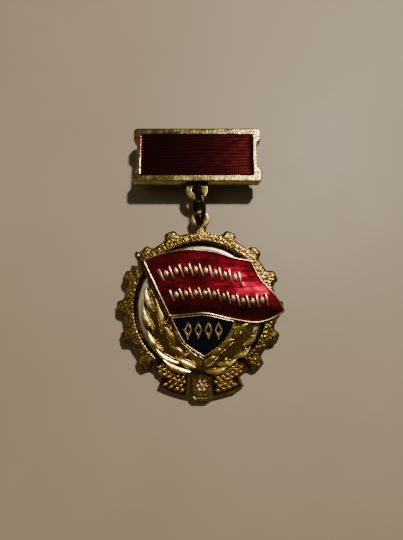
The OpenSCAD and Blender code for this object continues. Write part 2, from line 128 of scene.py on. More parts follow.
# ---- bar sizes ----
BAR_W = 25.0
BAR_H = 11.3
BAR_T = 2.0
BAR_BED = 1.0
WINDOW_W = 22.0
WINDOW_H = 8.8
BAR_GLAZE = 1.88
NOTCH_L = 5.5
NOTCH_D = 0.75
CORNER = 0.5
LUG_REACH = 1.19
LUG_R = 2.26
LUG_HOLE = 0.9
LUG_T = 0.8
RING_R = 2.95
WIRE_R = 0.48


# ---- camera and light ----
CAMERA_AT = (0.28, -9.76, 76.9)
CAMERA_TO = (0.28, 7.45, -0.72)
LIT_SPOT = (0, 8, 0)


def look_at(obj, place, target):
    obj.location = Vector(place) * MM
    way = (Vector(target) - Vector(place)).normalized()
    obj.rotation_euler = way.to_track_quat("-Z", "Y").to_euler()


def make_camera():
    data = bpy.data.cameras.new("camera")
    data.lens = 27.0
    data.sensor_width = 36.0
    data.clip_start = 0.001
    obj = bpy.data.objects.new("camera", data)
    bpy.context.scene.collection.objects.link(obj)
    look_at(obj, CAMERA_AT, CAMERA_TO)
    bpy.context.scene.camera = obj


def area_light(name, place, target, metres, power, colour):
    data = bpy.data.lights.new(name, "AREA")
    data.shape = "DISK"
    data.size = metres
    data.energy = power
    data.color = colour
    obj = bpy.data.objects.new(name, data)
    bpy.context.scene.collection.objects.link(obj)
    look_at(obj, place, target)


def make_world(colour, strength):
    world = bpy.data.worlds.new("studio")
    world.use_nodes = True
    back = world.node_tree.nodes["Background"]
    back.inputs["Color"].default_value = (*colour, 1)
    back.inputs["Strength"].default_value = strength
    bpy.context.scene.world = world


def make_light():
    area_light("key", (165, 275, 500), LIT_SPOT, metres=0.05, power=4.1, colour=(1.0, 0.93, 0.82))
    area_light("fill", (-260, 60, 420), LIT_SPOT, metres=0.24, power=0.12, colour=(1.0, 0.88, 0.7))
    make_world((0.9, 0.78, 0.6), strength=0.085)


# ---- curves and distances ----
def near(points, i):
    return np.array(points[max(0, min(len(points) - 1, i))], float)


def on_curve(points, s):
    """A point at the share s of a smooth line through the points."""
    f = s * (len(points) - 1)
    i = min(int(math.floor(f)), len(points) - 2)
    t = f - i
    a, b, c, d = (near(points, i + n) for n in (-1, 0, 1, 2))
    second = 2 * a - 5 * b + 4 * c - d
    third = 3 * b - a - 3 * c + d
    return 0.5 * (2 * b + (c - a) * t + second * t * t + third * t ** 3)


def curve(points, n):
    return [on_curve(points, i / n) for i in range(n + 1)]


def outline_d(points, u, v):
    """Distance to a closed outline, positive inside it."""
    best = np.full(u.shape, 1e9)
    odd = np.zeros(u.shape, bool)
    count = len(points)
    for i in range(count):
        ax, ay = points[i]
        bx, by = points[(i + 1) % count]
        ex, ey = bx - ax, by - ay
        length = ex * ex + ey * ey
        if length < 1e-12:
            continue
        t = np.clip(((u - ax) * ex + (v - ay) * ey) / length, 0, 1)
        best = np.minimum(best, (u - ax - t * ex) ** 2 + (v - ay - t * ey) ** 2)
        if ay != by:
            odd ^= ((v < ay) != (v < by)) & (u < ax + (v - ay) * ex / ey)
    return np.where(odd, 1, -1) * np.sqrt(best)


def join(a, b, soft=0.25):
    """The union of two distances, with a fillet where they meet."""
    h = np.maximum(soft - np.abs(a - b), 0) / soft
    return np.maximum(a, b) + h * h * soft * 0.25


def overlap(a, b, soft=0.25):
    return -join(-a, -b, soft)


def step_up(d, width):
    """0 to 1 over a sloped wall that starts at d = 0."""
    t = np.clip(d / width, 0, 1)
    return t * t * (3 - 2 * t)


def edge_drop(d, r):
    """How far a rounded edge of radius r stands below the flat."""
    x = r - np.clip(d, 0, r)
    return r - np.sqrt(np.maximum(r * r - x * x, 0))


LATTICE = 128


def lattice(seed):
    return np.random.default_rng(seed).random((LATTICE, LATTICE))


def grain(u, v, size, seed):
    """Smooth noise from -1 to 1 whose spots are about size across."""
    table = lattice(seed)
    x, y = u / size, v / size
    i, j = np.floor(x).astype(int), np.floor(y).astype(int)
    fx, fy = x - i, y - j
    fx, fy = fx * fx * (3 - 2 * fx), fy * fy * (3 - 2 * fy)
    i, j = i % LATTICE, j % LATTICE
    k, m = (i + 1) % LATTICE, (j + 1) % LATTICE
    low = table[j, i] * (1 - fx) + table[j, k] * fx
    high = table[m, i] * (1 - fx) + table[m, k] * fx
    return 2 * (low * (1 - fy) + high * fy) - 1


# ---- meshes ----
def crossings(d, inside, us, vs, axis):
    """The grid's edges along one axis that the zero line cuts: a mask, their indices and their places."""
    if axis == 1:
        a, b = d[:, :-1], d[:, 1:]
        cut = inside[:, :-1] != inside[:, 1:]
    else:
        a, b = d[:-1, :], d[1:, :]
        cut = inside[:-1, :] != inside[1:, :]
    j, i = np.nonzero(cut)
    t = a[j, i] / (a[j, i] - b[j, i])
    if axis == 1:
        return cut, j, i, us[i] + t * (us[i + 1] - us[i]), vs[j]
    return cut, j, i, us[i], vs[j] + t * (vs[j + 1] - vs[j])


def numbered(shape, j, i, start):
    table = np.full(shape, -1)
    table[j, i] = np.arange(start, start + len(j))
    return table


def cut_cells(inside, node_no, h_no, v_no):
    """The faces of the cells that the outline crosses, and the outline's edges."""
    count = inside[:-1, :-1].astype(int) + inside[:-1, 1:] + inside[1:, 1:] + inside[1:, :-1]
    faces, rim = [], []
    for j, i in zip(*np.nonzero((count > 0) & (count < 4))):
        corners = ((j, i), (j, i + 1), (j + 1, i + 1), (j + 1, i))
        edges = (h_no[j, i], v_no[j, i + 1], h_no[j + 1, i], v_no[j, i])
        face, cuts = [], []
        for n in range(4):
            here, there = inside[corners[n]], inside[corners[(n + 1) % 4]]
            if here:
                face.append(int(node_no[corners[n]]))
            if here != there:
                face.append(int(edges[n]))
                cuts.append((int(edges[n]), here))
        faces.append(face)
        for n, (number, leaves) in enumerate(cuts):
            if leaves:
                rim.append((number, cuts[(n + 1) % len(cuts)][0]))
    return faces, rim


def rim_loops(rim):
    after = dict(rim)
    loops = []
    while after:
        start, at = next(iter(after.items()))
        loop = [start]
        del after[start]
        while at != start:
            loop.append(at)
            at = after.pop(at)
        loops.append(loop)
    return loops


def relief(distance, height, box, step, bottom):
    """A closed mesh: the height inside the distance's zero line, upright walls and a flat back."""
    us = np.arange(box[0], box[2] + step, step)
    vs = np.arange(box[1], box[3] + step, step)
    u, v = np.meshgrid(us, vs)
    d = distance(u, v)
    # grid points close to the outline are pushed off it, so that no sliver is cut
    least = 0.12 * step
    d = np.where(np.abs(d) < least, np.where(d < 0, -least, least), d)
    inside = d > 0
    j, i = np.nonzero(inside)
    node_no = numbered(d.shape, j, i, 0)
    h_cut, hj, hi, hu, hv = crossings(d, inside, us, vs, 1)
    h_no = numbered(h_cut.shape, hj, hi, len(j))
    v_cut, vj, vi, vu, vv = crossings(d, inside, us, vs, 0)
    v_no = numbered(v_cut.shape, vj, vi, len(j) + len(hj))
    pu = np.concatenate([us[i], hu, vu])
    pv = np.concatenate([vs[j], hv, vv])
    pd = np.concatenate([d[j, i], np.zeros(len(hj) + len(vj))])
    top = np.stack([pu, pv, height(pu, pv, pd)], 1)
    full = inside[:-1, :-1] & inside[:-1, 1:] & inside[1:, 1:] & inside[1:, :-1]
    fj, fi = np.nonzero(full)
    quads = np.stack([node_no[fj, fi], node_no[fj, fi + 1], node_no[fj + 1, fi + 1], node_no[fj + 1, fi]], 1)
    faces, rim = cut_cells(inside, node_no, h_no, v_no)
    loops = rim_loops(rim)
    below = {}
    low = []
    for loop in loops:
        for number in loop:
            below[number] = len(top) + len(low)
            low.append((top[number][0], top[number][1], bottom))
    walls = [(b, a, below[a], below[b]) for a, b in rim]
    flat = [number for loop in loops for number in loop]
    back = []
    for tri in tessellate_polygon([[Vector((*top[n][:2], 0)) for n in loop] for loop in loops]):
        a, b, c = (flat[n] for n in tri)
        ab = (top[b][0] - top[a][0], top[b][1] - top[a][1])
        ac = (top[c][0] - top[a][0], top[c][1] - top[a][1])
        area = ab[0] * ac[1] - ab[1] * ac[0]
        order = (a, c, b) if area > 0 else (a, b, c)
        back.append(tuple(below[n] for n in order))
    verts = [tuple(p) for p in top] + low
    return verts, [tuple(q) for q in quads.tolist()] + [tuple(f) for f in faces] + walls + back


def lathe(profile, turns, closed=False):
    """A surface turned about Z from (radius, height) pairs; a radius of 0 is one point."""
    verts, rows, faces = [], [], []
    angles = [2 * math.pi * n / turns for n in range(turns)]
    for r, z in profile:
        if r < 1e-6:
            rows.append([len(verts)] * turns)
            verts.append((0, 0, z))
            continue
        rows.append(list(range(len(verts), len(verts) + turns)))
        verts += [(r * math.cos(a), r * math.sin(a), z) for a in angles]
    pairs = list(zip(rows, rows[1:] + rows[:1])) if closed else list(zip(rows, rows[1:]))
    for low, high in pairs:
        for n in range(turns):
            m = (n + 1) % turns
            face = []
            for number in (low[n], low[m], high[m], high[n]):
                if number not in face:
                    face.append(number)
            if len(face) > 2:
                faces.append(tuple(face))
    return verts, faces


def together(*meshes):
    verts, faces = [], []
    for part_verts, part_faces in meshes:
        start = len(verts)
        verts += part_verts
        faces += [tuple(start + n for n in face) for face in part_faces]
    return verts, faces


def moved(mesh, matrix):
    return [tuple(matrix @ Vector(p)) for p in mesh[0]], mesh[1]


PENDANT = Matrix.Rotation(math.radians(REST_TILT), 4, "X")


def store_painted_shade(data, painted_shade):
    """Stores how much painted shade darkens each point, from the given function of (u, v, w); without one, no
    point is darkened.
    """
    layer = data.attributes.new("painted_shade", "FLOAT", "POINT")
    if painted_shade is not None:
        u, v, w = np.array([p.co for p in data.vertices], float).T
        layer.data.foreach_set("value", np.clip(painted_shade(u, v, w), 0, 1))


def piece(name, mesh, place, material, body, nodes, sharp=38, painted_shade=None):
    data = bpy.data.meshes.new(name)
    data.from_pydata(mesh[0], [], mesh[1])
    store_painted_shade(data, painted_shade)
    data.transform(Matrix.Scale(MM, 4) @ place)
    data.shade_smooth()
    data.set_sharp_from_angle(angle=math.radians(sharp))
    data.materials.append(material)
    obj = bpy.data.objects.new(name, data)
    bpy.context.scene.collection.objects.link(obj)
    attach(obj, body)
    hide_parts(*nodes)
    return obj


def on_pendant(node, mesh, material, sharp=38, painted_shade=None):
    """The pendant's piece that takes the place of one node."""
    return piece(node + "_shape", mesh, PENDANT, material, "pendant", [node], sharp, painted_shade)


# ---- materials ----
class Shader:
    """A Principled material with helpers for its procedural inputs."""

    def __init__(self, name):
        self.material = bpy.data.materials.new(name)
        self.material.use_nodes = True
        self.tree = self.material.node_tree
        self.bsdf = self.tree.nodes["Principled BSDF"]
        self.coords = self.tree.nodes.new("ShaderNodeTexCoord")

    def set(self, **values):
        for name, value in values.items():
            self.bsdf.inputs[name.replace("_", " ")].default_value = value

    def link(self, output, name):
        self.tree.links.new(output, self.bsdf.inputs[name])

    def placed(self, stretch, turn=0.0):
        """Object coordinates, turned and scaled: a stretch below 1 draws a pattern out along that axis."""
        node = self.tree.nodes.new("ShaderNodeMapping")
        node.vector_type = "TEXTURE"
        node.inputs["Scale"].default_value = [1 / s for s in stretch]
        node.inputs["Rotation"].default_value = (0, 0, turn)
        self.tree.links.new(self.coords.outputs["Object"], node.inputs["Vector"])
        return node.outputs["Vector"]

    def noise(self, per_mm, detail=3.0, stretch=(1, 1, 1), turn=0.0, rough=0.6):
        node = self.tree.nodes.new("ShaderNodeTexNoise")
        node.inputs["Scale"].default_value = per_mm / MM
        node.inputs["Detail"].default_value = detail
        node.inputs["Roughness"].default_value = rough
        self.tree.links.new(self.placed(stretch, turn), node.inputs["Vector"])
        return node.outputs["Fac"]

    def waves(self, per_mm, distortion, stretch=(1, 1, 1), turn=0.0, detail_scale=1.0):
        node = self.tree.nodes.new("ShaderNodeTexWave")
        node.bands_direction = "Y"
        node.inputs["Scale"].default_value = per_mm / MM
        node.inputs["Distortion"].default_value = distortion
        node.inputs["Detail"].default_value = 1.0
        node.inputs["Detail Scale"].default_value = detail_scale
        self.tree.links.new(self.placed(stretch, turn), node.inputs["Vector"])
        return node.outputs["Fac"]

    def ramp(self, value, stops):
        node = self.tree.nodes.new("ShaderNodeValToRGB")
        ends = node.color_ramp.elements
        while len(ends) < len(stops):
            ends.new(0.5)
        for end, (place, colour) in zip(ends, stops):
            end.position = place
            end.color = (*colour, 1)
        self.tree.links.new(value, node.inputs["Fac"])
        return node.outputs["Color"]

    def painted_shade(self, darkest):
        """Painted shade: white, going dark where a point's stored shade value is high, in the recesses of the
        surface and on the banner enamel's shaded parts.
        """
        node = self.tree.nodes.new("ShaderNodeAttribute")
        node.attribute_name = "painted_shade"
        unshaded = (1.0, 1.0, 1.0)
        shaded = (darkest, 0.7 * darkest, 0.5 * darkest)
        return self.ramp(node.outputs["Fac"], [(0.0, unshaded), (1.0, shaded)])

    def blended(self, colour, shade):
        node = self.tree.nodes.new("ShaderNodeMix")
        node.data_type = "RGBA"
        node.blend_type = "MULTIPLY"
        node.inputs["Factor"].default_value = 1.0
        self.tree.links.new(colour, node.inputs["A"])
        self.tree.links.new(shade, node.inputs["B"])
        return node.outputs["Result"]

    def span(self, value, low, high, start=0.3, stop=0.7):
        node = self.tree.nodes.new("ShaderNodeMapRange")
        node.inputs["From Min"].default_value = start
        node.inputs["From Max"].default_value = stop
        node.inputs["To Min"].default_value = low
        node.inputs["To Max"].default_value = high
        self.tree.links.new(value, node.inputs["Value"])
        return node.outputs["Result"]

    def bump(self, value, depth, strength=1.0, under=None):
        node = self.tree.nodes.new("ShaderNodeBump")
        node.inputs["Distance"].default_value = depth * MM
        node.inputs["Strength"].default_value = strength
        self.tree.links.new(value, node.inputs["Height"])
        if under is not None:
            self.tree.links.new(under, node.inputs["Normal"])
        return node.outputs["Normal"]


def gilt(name, dark, light, rough, grain_per_mm, grain_depth, streak=(1, 1, 1), painted_shade_darkest=0.12):
    """Gilt metal: patches from dark to light, painted shade in the recesses, fingered roughness and a grained
    surface.

    rough holds the least and the greatest roughness, and streak draws the roughness and the grain out.
    """
    s = Shader(name)
    s.set(Metallic=1.0)
    metal = s.ramp(s.noise(0.35, 4.0), [(0.3, dark), (0.7, light)])
    s.link(s.blended(metal, s.painted_shade(painted_shade_darkest)), "Base Color")
    s.link(s.span(s.noise(0.9, 5.0, streak), rough[0], rough[1]), "Roughness")
    coarse = s.bump(s.noise(grain_per_mm, 4.0, streak), grain_depth)
    s.link(s.bump(s.noise(4 * grain_per_mm, 2.0, streak), 0.3 * grain_depth, under=coarse), "Normal")
    return s.material


def grained_gilt():
    """Pebbled gilt with painted light: crowns painted bright as a highlight and gaps painted brown as shade,
    following the bump's pebbles.
    """
    s = Shader("gilt_grained")
    s.set(Metallic=1.0)
    pebbles = s.noise(3.2, 2.0, rough=0.45)
    shaded_gaps = (0.065, 0.036, 0.007)
    slopes = (0.19, 0.12, 0.027)
    lit_crowns = (0.46, 0.32, 0.10)
    metal = s.ramp(pebbles, [(0.36, shaded_gaps), (0.5, slopes), (0.68, lit_crowns)])
    s.link(s.blended(metal, s.painted_shade(0.1)), "Base Color")
    s.link(s.span(s.noise(0.9, 4.0), 0.2, 0.32), "Roughness")
    s.link(s.bump(pebbles, 0.05), "Normal")
    return s.material


def bar_enamel():
    """Nearly black red enamel over a metal bed cut with fine level waves."""
    s = Shader("enamel_bar")
    s.set(Metallic=1.0, Roughness=0.16, Coat_Weight=1.0, Coat_Roughness=0.08)
    lines = s.waves(0.5, 9.0, (0.25, 1, 1), 0.03, 0.35)
    s.link(s.ramp(lines, [(0.2, (0.034, 0.0014, 0.0026)), (0.85, (0.078, 0.0026, 0.0052))]), "Base Color")
    s.link(s.bump(lines, 0.015), "Normal")
    return s.material


def flag_enamel_look():
    """Deep red translucent enamel in clouded patches, with painted light: left bright on a band where the
    light catches it and painted dark elsewhere.
    """
    s = Shader("enamel_red")
    s.set(Metallic=0.95, Coat_Weight=1.0, Coat_Roughness=0.04)
    cloud = s.noise(0.28, 5.0, (1, 1.8, 1), 0.18)
    cloudy_red = s.ramp(cloud, [(0.3, (0.22, 0.004, 0.014)), (0.7, (0.56, 0.010, 0.042))])
    s.link(s.blended(cloudy_red, s.painted_shade(0.1)), "Base Color")
    s.link(s.span(cloud, 0.22, 0.32), "Roughness")
    s.link(s.bump(s.noise(0.5, 3.0, (0.3, 1.5, 1), 0.12), 0.07), "Normal")
    return s.material


def shield_enamel_look():
    s = Shader("enamel_blue")
    s.set(Metallic=0.6, Roughness=0.2, Coat_Weight=0.4, Coat_Roughness=0.05)
    cloud = s.noise(0.5, 3.0)
    s.link(s.ramp(cloud, [(0.3, (0.0010, 0.0028, 0.004)), (0.7, (0.0015, 0.006, 0.012))]), "Base Color")
    s.link(s.bump(s.noise(0.8, 3.0), 0.04), "Normal")
    return s.material


def dark_wire():
    s = Shader("ring_dark")
    s.set(Metallic=0.9)
    spots = s.noise(0.9, 5.0)
    s.link(s.ramp(spots, [(0.35, (0.022, 0.014, 0.010)), (0.72, (0.10, 0.065, 0.036))]), "Base Color")
    s.link(s.span(spots, 0.28, 0.5), "Roughness")
    s.link(s.bump(s.noise(3.0, 3.0), 0.02), "Normal")
    return s.material


def steel():
    s = Shader("pin_steel")
    s.set(Metallic=1.0)
    patches = s.noise(0.6, 4.0, (0.2, 1, 1))
    s.link(s.ramp(patches, [(0.3, (0.42, 0.41, 0.39)), (0.7, (0.6, 0.59, 0.56))]), "Base Color")
    s.link(s.span(s.noise(1.5, 4.0, (0.15, 2, 2)), 0.2, 0.38), "Roughness")
    s.link(s.bump(s.noise(5.0, 2.0, (0.1, 2, 2)), 0.008), "Normal")
    return s.material


def table_top():
    s = Shader("table_top")
    cloud = s.noise(0.02, 4.0)
    s.link(s.ramp(cloud, [(0.3, (0.30, 0.237, 0.165)), (0.7, (0.335, 0.268, 0.19))]), "Base Color")
    s.link(s.span(cloud, 0.5, 0.62), "Roughness")
    return s.material


# ---- the gear rim and its eye ----
def tooth_d(x, y, root, tip, root_y, tip_y):
    """Distance to a tapered tooth that points along y."""
    half = root + (tip - root) * (y - root_y) / (tip_y - root_y)
    lean = math.cos(math.atan((root - tip) / (tip_y - root_y)))
    return overlap(overlap((half - np.abs(x)) * lean, tip_y - y, GEAR_FILLET), y - root_y + TOOTH_SUNK)


def rim_outline(u, v):
    """The toothed disc with its stem, without the apron at the bottom."""
    r = np.hypot(u, v)
    angle = np.arctan2(u, v)
    place = np.round(angle / TOOTH_STEP)
    turn = angle - place * TOOTH_STEP
    tooth = tooth_d(r * np.sin(turn), r * np.cos(turn), TOOTH_ROOT, TOOTH_TIP, ROOT_R - 0.2, TIP_R)
    used = (np.abs(place) >= 1) & (np.abs(place) <= LAST_TOOTH)
    d = join(ROOT_R - r, np.where(used, tooth, -FAR), GEAR_FILLET)
    stem = tooth_d(u, v, STEM_ROOT, STEM_TIP, ROOT_R - 0.3, STEM_END + 0.2)
    return join(d, np.where(v > 0, stem, -FAR), GEAR_FILLET)


APRON = [(-9.4, -10.4), (-8.3, -11.3), (-6.9, -12.9), (-7.2, -14.4), (-5.7, -15.5), (-3.6, -16.2),
         (-1.8, -16.6), (-0.9, -17.2), (1.5, -17.2), (2.4, -16.6), (4.2, -16.2), (6.3, -15.6), (8, -14.4),
         (7.3, -12.7), (9.4, -10.4)]


def gear_distance(u, v):
    d = join(rim_outline(u, v), outline_d(APRON, u, v), 0.15)
    for side in (-1, 1):
        d = np.minimum(d, np.hypot(u - side * RIVET_AT, v) - RIVET_HOLE)
    return d


def rim_face(u, v):
    """Distance to the raised face's edge, positive on the face."""
    r = np.hypot(u, v)
    angle = np.abs(np.arctan2(u, v))
    face = np.minimum(rim_outline(u, v) - LIP, r - RIM_IN_R)
    return np.minimum(face, (RIM_HALF - angle) * r)


def gear_painted_shade(u, v, w):
    """Painted shade along the face's edge, along its inner edge and where the stem meets the eye."""
    face = rim_face(u, v)
    wall = np.exp(-((face - 0.06) / 0.12) ** 2)
    inner = np.exp(-((np.hypot(u, v) - RIM_IN_R + 0.1) / 0.2) ** 2)
    stem_foot = np.exp(-(np.hypot(u, v - EYE_V) - EYE_R) ** 2 / 0.03) * (w < 0.6)
    return np.maximum(np.maximum(wall, inner), stem_foot) * (v < STEM_END)


def gear_height(u, v, d):
    face = rim_face(u, v)
    up = step_up(face, SHOULDER)
    worn_edge = 0.12 * np.exp(-np.maximum(face - SHOULDER, 0) / 0.12) * up
    pebbles = 0.045 * grain(u, v, 0.23, 3) * step_up(face - SHOULDER, SHOULDER)
    raised = (RIM_Z - FLANGE_Z) * up - worn_edge + pebbles
    return FLANGE_Z + raised - edge_drop(d, 0.14)


def eye_ring():
    """The eye's ring: a rounded square turned about the eye's middle."""
    profile = []
    wide = (EYE_R - EYE_HOLE) / 2
    tall = (EYE_HIGH - EYE_LOW) / 2
    for n in range(24):
        a = 2 * math.pi * n / 24
        c, s = math.cos(a), math.sin(a)
        x = math.copysign(abs(c) ** 0.4, c)
        y = math.copysign(abs(s) ** 0.4, s)
        profile.append((EYE_HOLE + wide + wide * x, EYE_LOW + tall + tall * y))
    return moved(lathe(profile, 72, closed=True), Matrix.Translation((0, EYE_V, 0)))


def make_gear(material, smooth):
    """The raised face has the first material; the flange, the sides, the back and the eye are smooth."""
    body = relief(gear_distance, gear_height, (-16.2, -17.5, 16.2, 15.7), step=0.115, bottom=0.0)
    whole = on_pendant("gear_base", together(body, eye_ring()), material, painted_shade=gear_painted_shade)
    whole.data.materials.append(smooth)
    raised = (FLANGE_Z + 0.5 * (RIM_Z - FLANGE_Z)) * MM
    tilt = PENDANT.to_3x3().inverted()
    for face in whole.data.polygons:
        in_eye = face.index >= len(body[1])
        if in_eye or (tilt @ face.center).z < raised:
            face.material_index = 1
    return whole


# ---- inner disc with its half-round moulding ----
def make_disc(material):
    foot_top = FLANGE_Z + 0.12
    profile = [(0, FLANGE_Z), (DISC_R, FLANGE_Z), (DISC_R, foot_top)]
    for n in range(25):
        a = math.pi * n / 24
        r, z = BEAD_MID + BEAD_R * math.cos(a), FLANGE_Z + BEAD_R * math.sin(a) ** 0.4
        if z > foot_top and r > FIELD_R + 0.05:
            profile.append((r, z))
    groove_z = profile[-1][1] - 0.05
    profile += [(FIELD_R, groove_z), (FIELD_R - 0.02, FIELD_Z - 0.1), (FIELD_R - 0.12, FIELD_Z), (0, FIELD_Z)]
    disc = lathe(profile, 192)

    # painted shade at the bead's foot on the flange and in the groove round the field
    def painted_shade(u, v, w):
        r = np.hypot(u, v)
        foot = np.exp(-((w - FLANGE_Z) / 0.2) ** 2) * (r > BEAD_MID)
        groove = np.exp(-((r - FIELD_R) / 0.12) ** 2)
        return np.maximum(foot, groove)

    on_pendant("centre_disc", disc, material, sharp=30, painted_shade=painted_shade)


# ---- banner and pole ----
POLE_TOP = np.array((-11.63, 9.4))
POLE_END = np.array((-4.81, -4.5))
POLE_WAY = (POLE_END - POLE_TOP) / np.linalg.norm(POLE_END - POLE_TOP)
POLE_SIDE = (POLE_R + SIDE_GAP) * np.array((-POLE_WAY[1], POLE_WAY[0]))


def on_pole(s):
    return POLE_TOP + s * (POLE_END - POLE_TOP)


FLAG_UPPER = [on_pole(0.07) + POLE_SIDE, (-6.6, 10.15), (-1.9, 10.75), (2.6, 10.3), (6.4, 9.15), (9.65, 8.6)]
FLAG_RIGHT = [(9.65, 8.6), (11.4, 5.1), (14, 2), (15.6, -0.7)]
FLAG_LOWER = [(15.3, -1.2), (12.8, -2.6), (9.9, -3.15), (5.5, -2.45), (1, -1.5), (-2.5, -1.75),
              on_pole(0.83) + POLE_SIDE]
FLAG = curve(FLAG_UPPER, 40)[:-1] + curve(FLAG_RIGHT, 20) + curve(FLAG_LOWER, 40)
UPPER_ROW = [(-7.2, 5.8), (-3.5, 6.55), (0.15, 6.75), (3.8, 5.95), (7.5, 5)]
LOWER_ROW = [(-5.2, 1.9), (-1.7, 2.4), (1.8, 2.25), (5.3, 1.5), (8.8, 0.8), (12.3, 1.1)]
UPPER_H = 2.6
LOWER_H = 2.3
ORN_W = 0.42
DIAMOND_W = 2.2
DIAMOND_H = 0.72


def flag_wave(u, v):
    """The banner's low folds: a crest along the lower row on its free side."""
    free = step_up(u + 2.0, 12.0)
    crest = 0.24 * free * np.exp(-((v - 2.6 + 0.12 * u) / 2.9) ** 2)
    fold = 0.10 * np.sin(0.62 * (u - 0.5 * v) + 0.9)
    return crest + fold - 0.05


def on_row(row, s):
    """A point at the share s of a row, with the ends spaced like its middle."""
    row = [np.array(p, float) for p in row]
    last = len(row) - 1
    before = 2 * row[0] - row[1]
    beyond = 2 * row[last] - row[last - 1]
    return on_curve([before] + row + [beyond], (1 + s * last) / (last + 2))


def row_shapes(row, pairs, tall):
    """The outlines of a row of bars and diamonds in turn."""
    shapes = []
    for i in range(2 * pairs + 1):
        s = i / (2 * pairs)
        p = on_row(row, s)
        a = math.radians(24 - 12 * s)
        w, h = ORN_W / 2, tall / 2
        if i % 2 == 0:
            points = [(-w, -h), (w, -h), (w, h), (-w, h)]
        else:
            points = [(0, -DIAMOND_H * h), (DIAMOND_W * w, 0), (0, DIAMOND_H * h), (-DIAMOND_W * w, 0)]
        shapes.append([(p[0] + x * math.cos(a) - y * math.sin(a), p[1] + x * math.sin(a) + y * math.cos(a))
                       for x, y in points])
    return shapes


ORNAMENTS = row_shapes(UPPER_ROW, 8, UPPER_H) + row_shapes(LOWER_ROW, 10, LOWER_H)


def ornament_d(u, v):
    d = np.full(u.shape, -FAR)
    for shape in ORNAMENTS:
        d = np.maximum(d, outline_d(shape, u, v))
    return d


def shrunk(points, d):
    """A convex counterclockwise outline moved in by d."""
    moved_in = []
    for i, b in enumerate(points):
        a, c = points[i - 1], points[(i + 1) % len(points)]
        m = Vector((a[1] - b[1], b[0] - a[0])).normalized()
        n = Vector((b[1] - c[1], c[0] - b[0])).normalized()
        s = m + n
        moved_in.append((b[0] + 2 * d * s.x / s.dot(s), b[1] + 2 * d * s.y / s.dot(s)))
    return moved_in


def stud(points, z0, z1, bevel, lift):
    """A small raised shape with upright walls, two chamfers and a low crown; lift adds a height at a place."""
    rows = []
    for inset, z in ((0, z0), (0, z1 - bevel), (0.35 * bevel, z1 - 0.35 * bevel), (bevel, z1)):
        ring = shrunk(points, inset) if inset else points
        rows.append([(x, y, z + (lift(x, y) if z > z0 else 0)) for x, y in ring])
    count = len(points)
    verts = [p for row in rows for p in row]
    faces = [tuple(reversed(range(count)))]
    for r in range(len(rows) - 1):
        for n in range(count):
            m = (n + 1) % count
            faces.append((r * count + n, r * count + m, (r + 1) * count + m, (r + 1) * count + n))
    middle = np.mean(verts[-count:], 0)
    verts.append((middle[0], middle[1], middle[2] + 0.3 * bevel))
    last = (len(rows) - 1) * count
    for n in range(count):
        faces.append((last + n, last + (n + 1) % count, len(verts) - 1))
    return verts, faces


def half_round(d, width):
    """A ridge from d = 0 to the width, 0 at its feet and 1 at its crest."""
    x = (d - width / 2) / (width / 2)
    return np.sqrt(np.maximum(1 - x * x, 0))


def flag_height(u, v, d):
    rim = half_round(d, FLAG_BORDER)
    z = np.where(d < FLAG_BORDER, FLAG_TOP - FLAG_RIDGE + FLAG_RIDGE * rim, FLAG_BED)
    return flag_wave(u, v) + z


def flag_distance(u, v):
    return outline_d(FLAG, u, v)


def glaze_distance(u, v):
    """The enamel's edge is tucked a little under the border's ridge."""
    return outline_d(FLAG, u, v) - FLAG_BORDER + FLAG_TUCK


def glaze_height(u, v, d):
    """Enamel creeps up at the metal and sinks a little between."""
    creep = 0.04 * np.exp(-d / 0.18) + 0.03 * np.exp(-np.maximum(-ornament_d(u, v), 0) / 0.16)
    return flag_wave(u, v) + FLAG_GLAZE - 0.04 + creep + 0.014 * grain(u, v, 0.9, 11)


def glaze_painted_light(u, v, w):
    """Painted light on the banner's enamel: 0 (left bright) on a band across its free side where the light
    catches it, 0.75 (painted shade) elsewhere, up to 1 along its lower edge.
    """
    across = step_up(u + 1.0, 9.0)
    crest = np.exp(-((v - 4.6 + 0.28 * (u - 6)) / 2.6) ** 2)
    low = np.exp(-((v + 0.9) / 1.4) ** 2)
    return np.clip(0.75 - 0.75 * across * crest + 0.3 * low, 0, 1)


def flag_lift(x, y):
    """The folds' height at one place."""
    return float(flag_wave(np.array(x), np.array(y)))


FLAG_BOX = (-12.0, -3.6, 16.1, 11.2)


def make_flag(metal, glaze):
    plate = relief(flag_distance, flag_height, FLAG_BOX, step=0.075, bottom=FIELD_Z)
    studs = [stud(shape, FLAG_BED - 0.2, FLAG_TOP + 0.03, 0.1, flag_lift) for shape in ORNAMENTS]
    on_pendant("flag_plate", together(plate, *studs), metal)
    coat = relief(glaze_distance, glaze_height, FLAG_BOX, step=0.1, bottom=FLAG_BED)
    on_pendant("flag_enamel", coat, glaze, sharp=50, painted_shade=glaze_painted_light)


def make_pole(material):
    """A straight rod with a bulb and a neck at its upper end, cut flat where it lies on the disc's field."""
    length = float(np.linalg.norm(POLE_END - POLE_TOP))
    bulb = [(0, -1.1), (0.16, -1.02), (0.3, -0.9), (0.5, -0.68), (0.62, -0.4), (0.665, -0.05), (0.64, 0.25)]
    neck = [(0.55, 0.5), (0.44, 0.7), (0.38, 0.8), (0.38, 0.92)]
    rod = [(POLE_R, 1.0), (POLE_R, length - 0.1), (POLE_R - 0.08, length), (0, length)]
    profile = bulb + neck + rod
    verts, faces = lathe(profile, 32)
    angle = math.atan2(POLE_WAY[1], POLE_WAY[0])
    place = Matrix.Translation((POLE_TOP[0], POLE_TOP[1], FIELD_Z + 0.7 * POLE_R))
    place = place @ Matrix.Rotation(angle, 4, "Z") @ Matrix.Rotation(math.pi / 2, 4, "Y")
    verts, faces = moved((verts, faces), place)
    verts = [(x, y, max(z, FIELD_Z)) for x, y, z in verts]
    on_pendant("flagpole", (verts, faces), material, sharp=45)


